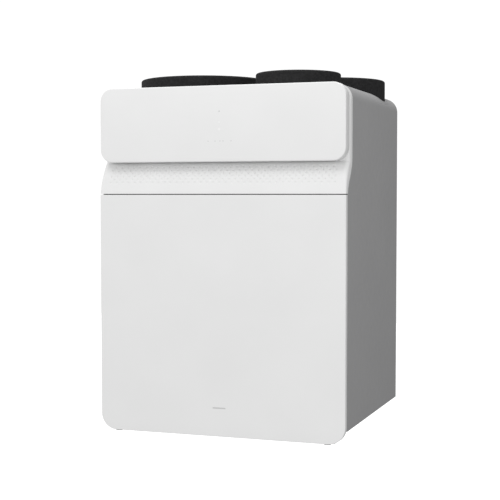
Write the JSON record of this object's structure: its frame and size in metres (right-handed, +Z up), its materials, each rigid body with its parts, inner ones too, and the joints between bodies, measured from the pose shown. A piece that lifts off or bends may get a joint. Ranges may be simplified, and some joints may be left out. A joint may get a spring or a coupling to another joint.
{
  "type": "heat recovery unit",
  "caption": "Wall-hung heat recovery ventilation unit with a drop-down white front door, a sloped dimpled band under a rounded fascia, a grey casing and round black foam duct collars.",
  "frame": {"origin": "middle of the wall bracket's rear face, in the plane of the wall", "axes": "+X to the unit's right as seen from the front, +Y into the wall, +Z up; the front faces -Y"},
  "size_m": [0.6, 0.53, 0.8452],
  "materials": {
    "white_enamel": "satin",
    "white_moulding": "satin",
    "grey_enamel": "satin",
    "zinc_steel": "satin",
    "black_foam": "matte",
    "rubber": "matte",
    "grey_plastic": "matte",
    "black_plastic": "matte",
    "exchanger_film": "satin",
    "filter_cloth": "matte",
    "circuit_board": "satin"
  },
  "bodies": {
    "unit": {"base_panel": "grey_enamel", "bypass_actuator": "black_plastic", "bypass_frame": "grey_plastic", "cable_gland_mains": "black_plastic", "cable_gland_signal": "black_plastic", "casing_wrap": "grey_enamel", "catch_magnet_left": "black_plastic", "catch_magnet_right": "black_plastic", "collar_exhaust": "black_foam", "collar_extract": "black_foam", "collar_outdoor": "black_foam", "collar_supply": "black_foam", "condensate_tray": "grey_plastic", "control_board": "circuit_board", "control_box": "zinc_steel", "drain_spout": "grey_plastic", "exchanger_front_plate": "grey_plastic", "exchanger_rear_plate": "grey_plastic", "exchanger_strap": "black_plastic", "fan_bay_cover_left": "black_foam", "fan_bay_cover_right": "black_foam", "fan_deck_exhaust": "grey_plastic", "fan_deck_supply": "grey_plastic", "fan_inlet_exhaust": "black_plastic", "fan_inlet_supply": "black_plastic", "fan_motor_exhaust": "black_plastic", "fan_motor_supply": "black_plastic", "fascia_tray": "white_moulding", "filter_frame_extract": "white_moulding", "filter_frame_outdoor": "white_moulding", "filter_media_extract": "filter_cloth", "filter_media_outdoor": "filter_cloth", "foam_body": "black_foam", "foam_lower": "black_foam", "foam_top": "black_foam", "front_cover": "white_moulding", "front_frame": "zinc_steel", "hanging_rail": "zinc_steel", "heat_exchanger": "exchanger_film", "hinge_bracket_left": "black_plastic", "hinge_bracket_right": "black_plastic", "lip_seal_exhaust": "rubber", "lip_seal_extract": "rubber", "lip_seal_outdoor": "rubber", "lip_seal_supply": "rubber", "rear_panel": "zinc_steel", "touch_board": "circuit_board", "wall_bracket": "zinc_steel", "wall_spacer_left": "rubber", "wall_spacer_right": "rubber"},
    "door": {"door_panel": "white_enamel", "door_liner": "black_foam", "door_seal": "rubber", "hinge_pin_left": "zinc_steel", "hinge_pin_right": "zinc_steel", "catch_plate_left": "zinc_steel", "catch_plate_right": "zinc_steel"},
    "exhaust_wheel": {"fan_wheel_exhaust": "black_plastic"},
    "supply_wheel": {"fan_wheel_supply": "black_plastic"},
    "bypass_blade": {"bypass_flap": "black_plastic"}
  },
  "joints": [
    {"name": "door_hinge", "type": "hinge", "parent": "unit", "child": "door", "pos_m": [0, -0.5215, -0.7165], "axis": [1, 0, 0], "range_deg": [0, 90]},
    {"name": "exhaust_fan_spin", "type": "hinge", "parent": "unit", "child": "exhaust_wheel", "pos_m": [-0.17, -0.358, -0.605], "axis": [0, 0, 1], "continuous": true},
    {"name": "supply_fan_spin", "type": "hinge", "parent": "unit", "child": "supply_wheel", "pos_m": [0.17, -0.358, -0.605], "axis": [0, 0, 1], "continuous": true},
    {"name": "bypass_turn", "type": "hinge", "parent": "unit", "child": "bypass_blade", "pos_m": [0.12, -0.045, -0.209], "axis": [1, 0, 0], "range_deg": [0, 90]}
  ]
}
